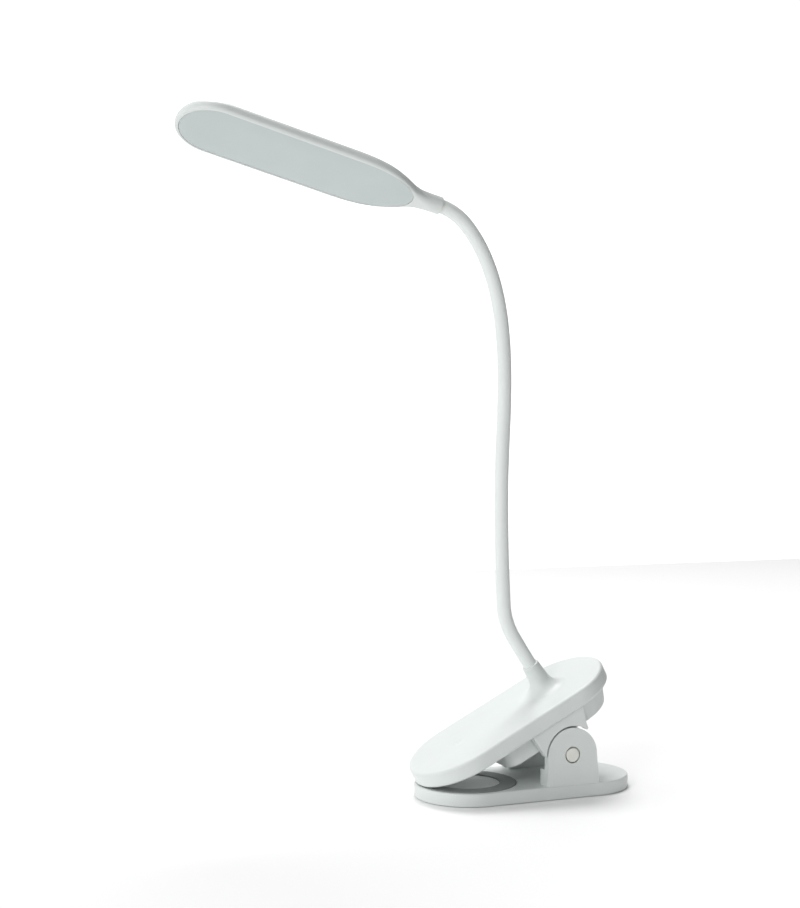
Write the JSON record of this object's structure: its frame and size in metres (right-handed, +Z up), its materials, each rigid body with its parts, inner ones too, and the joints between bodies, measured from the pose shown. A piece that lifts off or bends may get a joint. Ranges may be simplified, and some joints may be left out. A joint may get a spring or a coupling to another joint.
{
  "type": "clip-on reading lamp",
  "caption": "White clip-on reading lamp: sprung clamp that also stands on a desk, bendable gooseneck and a long flat head with an opal window.",
  "frame": {"origin": "centre of the lamp's underside, on the surface it stands on", "axes": "+Z up, +X towards the squeeze end of the clip, -X towards the gripping tip and the head, +Y across the clip"},
  "size_m": [0.2668, 0.0624, 0.3771],
  "materials": {
    "white_shell": "fine matt moulded white",
    "white_silicone": "smooth matt silicone sleeve",
    "opal_diffuser": "frosted opal, unlit",
    "pad_dark": "dark grey grip ring",
    "pad_light": "light grey grip pad",
    "foot_grey": "matt anti-slip pad",
    "nickel_steel": "satin nickel-plated steel",
    "spring_steel": "drawn spring wire",
    "zinc_steel": "zinc-plated steel",
    "brass_fitting": "turned brass",
    "cell_wrap": "foil pouch cell",
    "board_green": "solder mask",
    "board_white": "white solder mask on aluminium",
    "chip_black": "moulded epoxy",
    "led_yellow": "phosphor",
    "clear_pipe": "clear acrylic",
    "lead_black": "insulated lead",
    "lead_red": "insulated lead",
    "tape_grey": "thermal tape"
  },
  "bodies": {
    "base": {"base_shell": "white_shell", "base_weight": "zinc_steel", "base_cover": "white_shell", "foot_pad": "foot_grey", "base_screws": "zinc_steel", "jaw_pad_ring": "pad_dark", "jaw_pad_disc": "pad_light", "hinge_pin": "nickel_steel", "hinge_pin_cap": "nickel_steel", "torsion_spring": "spring_steel"},
    "upper_jaw": {"top_shell": "white_shell", "bottom_cover": "white_shell", "upper_jaw_pad": "pad_dark", "cover_screws": "zinc_steel", "battery_cell": "cell_wrap", "battery_leads": "lead_red", "control_board": "board_green", "board_components": "chip_black", "board_screws": "zinc_steel", "usb_socket": "nickel_steel", "touch_spring": "spring_steel", "indicator_light_pipe": "clear_pipe", "charge_led": "led_yellow", "neck_root_ferrule": "brass_fitting", "neck_lock_nut": "zinc_steel", "neck_sleeve_1": "white_silicone", "neck_core_1": "spring_steel", "neck_leads_1": "lead_black"},
    "neck_2": {"neck_sleeve_2": "white_silicone", "neck_core_2": "spring_steel", "neck_leads_2": "lead_black"},
    "neck_3": {"neck_sleeve_3": "white_silicone", "neck_core_3": "spring_steel", "neck_leads_3": "lead_black"},
    "neck_4": {"neck_sleeve_4": "white_silicone", "neck_core_4": "spring_steel", "neck_leads_4": "lead_black"},
    "neck_5": {"neck_sleeve_5": "white_silicone", "neck_core_5": "spring_steel", "neck_leads_5": "lead_black"},
    "neck_6": {"neck_sleeve_6": "white_silicone", "neck_core_6": "spring_steel", "neck_leads_6": "lead_black"},
    "neck_7": {"neck_sleeve_7": "white_silicone", "neck_core_7": "spring_steel", "neck_leads_7": "lead_black"},
    "neck_8": {"neck_sleeve_8": "white_silicone", "neck_core_8": "spring_steel", "neck_leads_8": "lead_black", "swivel_ferrule": "brass_fitting"},
    "head": {"head_shell": "white_shell", "diffuser": "opal_diffuser", "led_board": "board_white", "led_board_tape": "tape_grey", "leds": "led_yellow", "head_leads": "lead_black", "swivel_clip": "spring_steel"}
  },
  "joints": [
    {"name": "clamp", "type": "hinge", "parent": "base", "child": "upper_jaw", "pos_m": [0.017, 0, 0.0244], "axis": [0, 1, 0], "range_deg": [0, 28], "stiffness_Nm_per_rad": 0.6, "springref_deg": -57.3, "deforming": ["torsion_spring"]},
    {"name": "neck_bend_1", "type": "hinge", "parent": "upper_jaw", "child": "neck_2", "pos_m": [-0.00597, 0, 0.08864], "axis": [0, -1, 0], "range_deg": [-25, 25]},
    {"name": "neck_sway_1", "type": "hinge", "parent": "neck_2", "child": "neck_3", "pos_m": [-0.01278, 0, 0.12743], "axis": [0.9994, 0, 0.0349], "range_deg": [-25, 25]},
    {"name": "neck_bend_2", "type": "hinge", "parent": "neck_3", "child": "neck_4", "pos_m": [-0.01348, 0, 0.16735], "axis": [0, -1, 0], "range_deg": [-25, 25]},
    {"name": "neck_sway_2", "type": "hinge", "parent": "neck_4", "child": "neck_5", "pos_m": [-0.01226, 0, 0.20725], "axis": [-0.9986, 0, 0.0523], "range_deg": [-25, 25]},
    {"name": "neck_bend_3", "type": "hinge", "parent": "neck_5", "child": "neck_6", "pos_m": [-0.01174, 0, 0.24716], "axis": [0, -1, 0], "range_deg": [-25, 25]},
    {"name": "neck_sway_3", "type": "hinge", "parent": "neck_6", "child": "neck_7", "pos_m": [-0.01711, 0, 0.28664], "axis": [0.9659, 0, 0.2588], "range_deg": [-25, 25]},
    {"name": "neck_bend_4", "type": "hinge", "parent": "neck_7", "child": "neck_8", "pos_m": [-0.03508, 0, 0.32191], "axis": [0, -1, 0], "range_deg": [-25, 25]},
    {"name": "head_turn", "type": "hinge", "parent": "neck_8", "child": "head", "pos_m": [-0.05176, 0, 0.33234], "axis": [-0.9659, 0, 0.2588], "range_deg": [-45, 45]}
  ]
}
